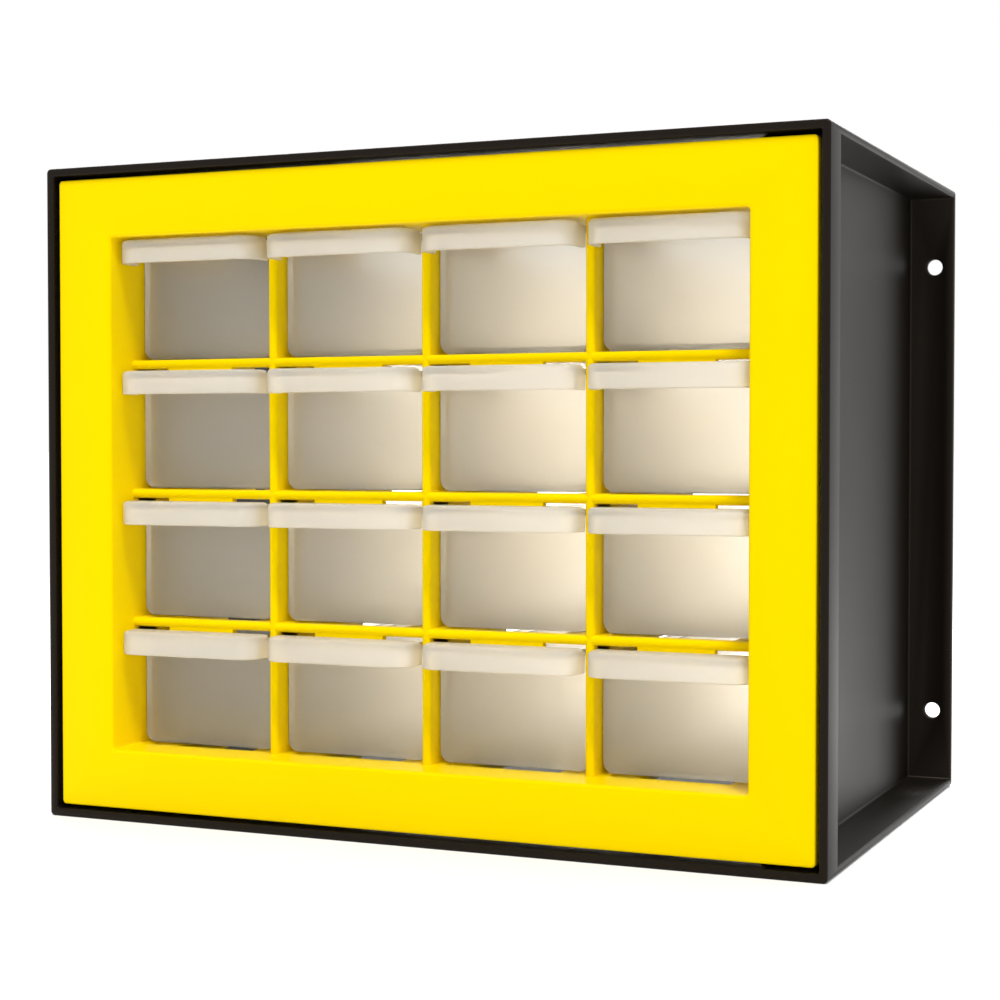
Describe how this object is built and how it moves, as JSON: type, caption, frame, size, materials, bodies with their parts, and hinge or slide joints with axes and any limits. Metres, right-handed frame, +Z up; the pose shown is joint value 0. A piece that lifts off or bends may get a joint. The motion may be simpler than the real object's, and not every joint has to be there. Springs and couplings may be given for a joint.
{
  "type": "parts bin cabinet",
  "caption": "Small open-backed cabinet with a snap-in front frame and a grid of frosted sliding drawers, for a bench or a wall.",
  "frame": {"origin": "on the surface that the cabinet stands on, under the middle of the case", "axes": "+X along the width, to the right of someone facing the drawers; +Y from the front rim to the back; +Z up"},
  "size_m": [0.266, 0.18, 0.216],
  "materials": {
    "black_plastic": "satin",
    "yellow_plastic": "semi-gloss",
    "frosted_plastic": "frosted, translucent"
  },
  "bodies": {
    "cabinet": {"case": "black_plastic", "front_frame": "yellow_plastic"},
    "drawer_row1_col1": {"drawer_row1_col1": "frosted_plastic"},
    "drawer_row1_col2": {"drawer_row1_col2": "frosted_plastic"},
    "drawer_row1_col3": {"drawer_row1_col3": "frosted_plastic"},
    "drawer_row1_col4": {"drawer_row1_col4": "frosted_plastic"},
    "drawer_row2_col1": {"drawer_row2_col1": "frosted_plastic"},
    "drawer_row2_col2": {"drawer_row2_col2": "frosted_plastic"},
    "drawer_row2_col3": {"drawer_row2_col3": "frosted_plastic"},
    "drawer_row2_col4": {"drawer_row2_col4": "frosted_plastic"},
    "drawer_row3_col1": {"drawer_row3_col1": "frosted_plastic"},
    "drawer_row3_col2": {"drawer_row3_col2": "frosted_plastic"},
    "drawer_row3_col3": {"drawer_row3_col3": "frosted_plastic"},
    "drawer_row3_col4": {"drawer_row3_col4": "frosted_plastic"},
    "drawer_row4_col1": {"drawer_row4_col1": "frosted_plastic"},
    "drawer_row4_col2": {"drawer_row4_col2": "frosted_plastic"},
    "drawer_row4_col3": {"drawer_row4_col3": "frosted_plastic"},
    "drawer_row4_col4": {"drawer_row4_col4": "frosted_plastic"}
  },
  "joints": [
    {"name": "drawer_row1_col1_slide", "type": "slide", "parent": "cabinet", "child": "drawer_row1_col1", "axis": [0, -1, 0], "range_m": [0, 0.1507]},
    {"name": "drawer_row1_col2_slide", "type": "slide", "parent": "cabinet", "child": "drawer_row1_col2", "axis": [0, -1, 0], "range_m": [0, 0.1507]},
    {"name": "drawer_row1_col3_slide", "type": "slide", "parent": "cabinet", "child": "drawer_row1_col3", "axis": [0, -1, 0], "range_m": [0, 0.1507]},
    {"name": "drawer_row1_col4_slide", "type": "slide", "parent": "cabinet", "child": "drawer_row1_col4", "axis": [0, -1, 0], "range_m": [0, 0.1507]},
    {"name": "drawer_row2_col1_slide", "type": "slide", "parent": "cabinet", "child": "drawer_row2_col1", "axis": [0, -1, 0], "range_m": [0, 0.1507]},
    {"name": "drawer_row2_col2_slide", "type": "slide", "parent": "cabinet", "child": "drawer_row2_col2", "axis": [0, -1, 0], "range_m": [0, 0.1507]},
    {"name": "drawer_row2_col3_slide", "type": "slide", "parent": "cabinet", "child": "drawer_row2_col3", "axis": [0, -1, 0], "range_m": [0, 0.1507]},
    {"name": "drawer_row2_col4_slide", "type": "slide", "parent": "cabinet", "child": "drawer_row2_col4", "axis": [0, -1, 0], "range_m": [0, 0.1507]},
    {"name": "drawer_row3_col1_slide", "type": "slide", "parent": "cabinet", "child": "drawer_row3_col1", "axis": [0, -1, 0], "range_m": [0, 0.1507]},
    {"name": "drawer_row3_col2_slide", "type": "slide", "parent": "cabinet", "child": "drawer_row3_col2", "axis": [0, -1, 0], "range_m": [0, 0.1507]},
    {"name": "drawer_row3_col3_slide", "type": "slide", "parent": "cabinet", "child": "drawer_row3_col3", "axis": [0, -1, 0], "range_m": [0, 0.1507]},
    {"name": "drawer_row3_col4_slide", "type": "slide", "parent": "cabinet", "child": "drawer_row3_col4", "axis": [0, -1, 0], "range_m": [0, 0.1507]},
    {"name": "drawer_row4_col1_slide", "type": "slide", "parent": "cabinet", "child": "drawer_row4_col1", "axis": [0, -1, 0], "range_m": [0, 0.1507]},
    {"name": "drawer_row4_col2_slide", "type": "slide", "parent": "cabinet", "child": "drawer_row4_col2", "axis": [0, -1, 0], "range_m": [0, 0.1507]},
    {"name": "drawer_row4_col3_slide", "type": "slide", "parent": "cabinet", "child": "drawer_row4_col3", "axis": [0, -1, 0], "range_m": [0, 0.1507]},
    {"name": "drawer_row4_col4_slide", "type": "slide", "parent": "cabinet", "child": "drawer_row4_col4", "axis": [0, -1, 0], "range_m": [0, 0.1507]}
  ]
}
